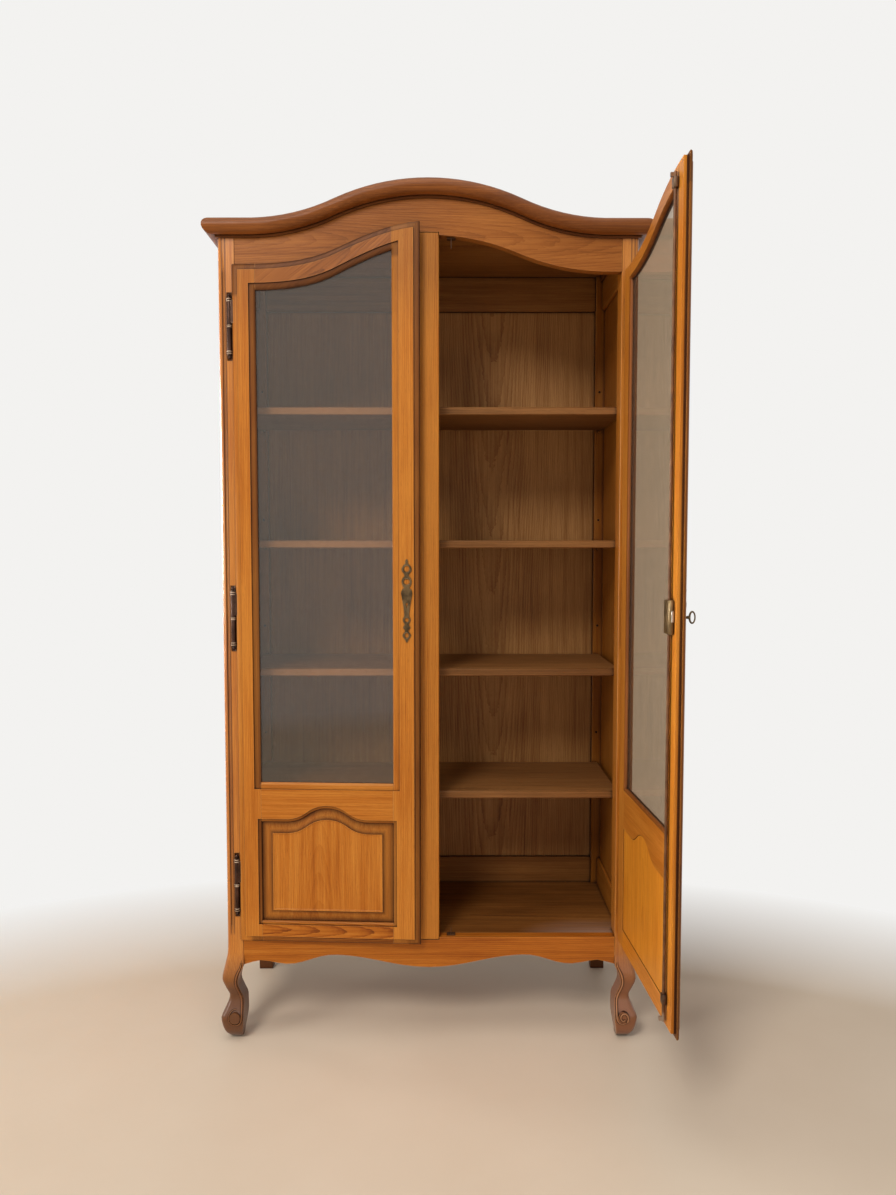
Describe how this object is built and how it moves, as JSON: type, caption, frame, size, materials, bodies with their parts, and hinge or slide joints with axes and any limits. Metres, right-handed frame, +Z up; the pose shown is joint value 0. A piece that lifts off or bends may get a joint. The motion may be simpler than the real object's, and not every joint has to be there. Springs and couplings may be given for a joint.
{
  "type": "display cabinet",
  "caption": "Glazed wooden display cabinet with an arched cornice, swinging doors over fielded panels, scroll feet, shelves, and a key lock with a turning rod.",
  "frame": {"origin": "on the floor under the middle of the carcase", "axes": "+X to the viewer's right, +Y to the back, +Z up"},
  "size_m": [1.046, 0.8499, 2.0627],
  "materials": {
    "honey_stained_wood": "stained, satin polish",
    "inner_wood": "stained, dull",
    "window_glass": "clear",
    "aged_bronze": "aged dark",
    "browned_iron": "browned"
  },
  "bodies": {
    "carcase": {"back_bottom_rail": "inner_wood", "back_panel": "inner_wood", "back_top_rail": "inner_wood", "centre_mullion": "honey_stained_wood", "cornice_front": "honey_stained_wood", "cornice_left": "honey_stained_wood", "cornice_right": "honey_stained_wood", "floor_board": "inner_wood", "front_apron": "honey_stained_wood", "front_frieze": "honey_stained_wood", "front_left_post": "honey_stained_wood", "front_right_post": "honey_stained_wood", "left_hinge_lower_fixed": "aged_bronze", "left_hinge_middle_fixed": "aged_bronze", "left_hinge_upper_fixed": "aged_bronze", "left_side_bottom_rail": "honey_stained_wood", "left_side_panel": "honey_stained_wood", "left_side_top_rail": "honey_stained_wood", "rear_left_post": "honey_stained_wood", "rear_right_post": "honey_stained_wood", "right_hinge_lower_fixed": "aged_bronze", "right_hinge_middle_fixed": "aged_bronze", "right_hinge_upper_fixed": "aged_bronze", "right_side_bottom_rail": "honey_stained_wood", "right_side_panel": "honey_stained_wood", "right_side_top_rail": "honey_stained_wood", "rod_catch_lower": "browned_iron", "rod_catch_upper": "browned_iron", "shelf_1": "inner_wood", "shelf_2": "inner_wood", "shelf_3": "inner_wood", "shelf_4": "inner_wood", "top_board": "inner_wood"},
    "left_door": {"left_door_bottom_rail": "honey_stained_wood", "left_door_escutcheon": "aged_bronze", "left_door_glass": "window_glass", "left_door_hinge_stile": "honey_stained_wood", "left_door_meeting_stile": "honey_stained_wood", "left_door_mid_rail": "honey_stained_wood", "left_door_panel": "honey_stained_wood", "left_door_top_rail": "honey_stained_wood", "left_hinge_lower_moving": "aged_bronze", "left_hinge_middle_moving": "aged_bronze", "left_hinge_upper_moving": "aged_bronze"},
    "right_door": {"right_door_bottom_rail": "honey_stained_wood", "right_door_escutcheon": "aged_bronze", "right_door_glass": "window_glass", "right_door_hinge_stile": "honey_stained_wood", "right_door_lock_case": "aged_bronze", "right_door_meeting_stile": "honey_stained_wood", "right_door_mid_rail": "honey_stained_wood", "right_door_panel": "honey_stained_wood", "right_door_top_rail": "honey_stained_wood", "right_hinge_lower_moving": "aged_bronze", "right_hinge_middle_moving": "aged_bronze", "right_hinge_upper_moving": "aged_bronze", "rod_guide_lower": "browned_iron", "rod_guide_upper": "browned_iron"},
    "key": {"key": "aged_bronze"},
    "lock_rod": {"lock_rod": "browned_iron"}
  },
  "joints": [
    {"name": "left_door_swing", "type": "hinge", "parent": "carcase", "child": "left_door", "pos_m": [-0.467, -0.2025, 1], "axis": [0, 0, -1], "range_deg": [-3, 102]},
    {"name": "right_door_swing", "type": "hinge", "parent": "carcase", "child": "right_door", "pos_m": [0.467, -0.2025, 1], "axis": [0, 0, 1], "range_deg": [-93.2, 11.8]},
    {"name": "key_turn", "type": "hinge", "parent": "right_door", "child": "key", "pos_m": [0.48775, -0.61849, 1.0755], "axis": [-0.9984, -0.0558, 0], "range_deg": [0, 180]},
    {"name": "rod_turn", "type": "hinge", "parent": "right_door", "child": "lock_rod", "pos_m": [0.47295, -0.6098, 1.0755], "axis": [0, 0, 1], "range_deg": [0, 90]}
  ],
  "couplings": [
    {"joint": "rod_turn", "follows": "key_turn", "ratio": 0.5}
  ]
}
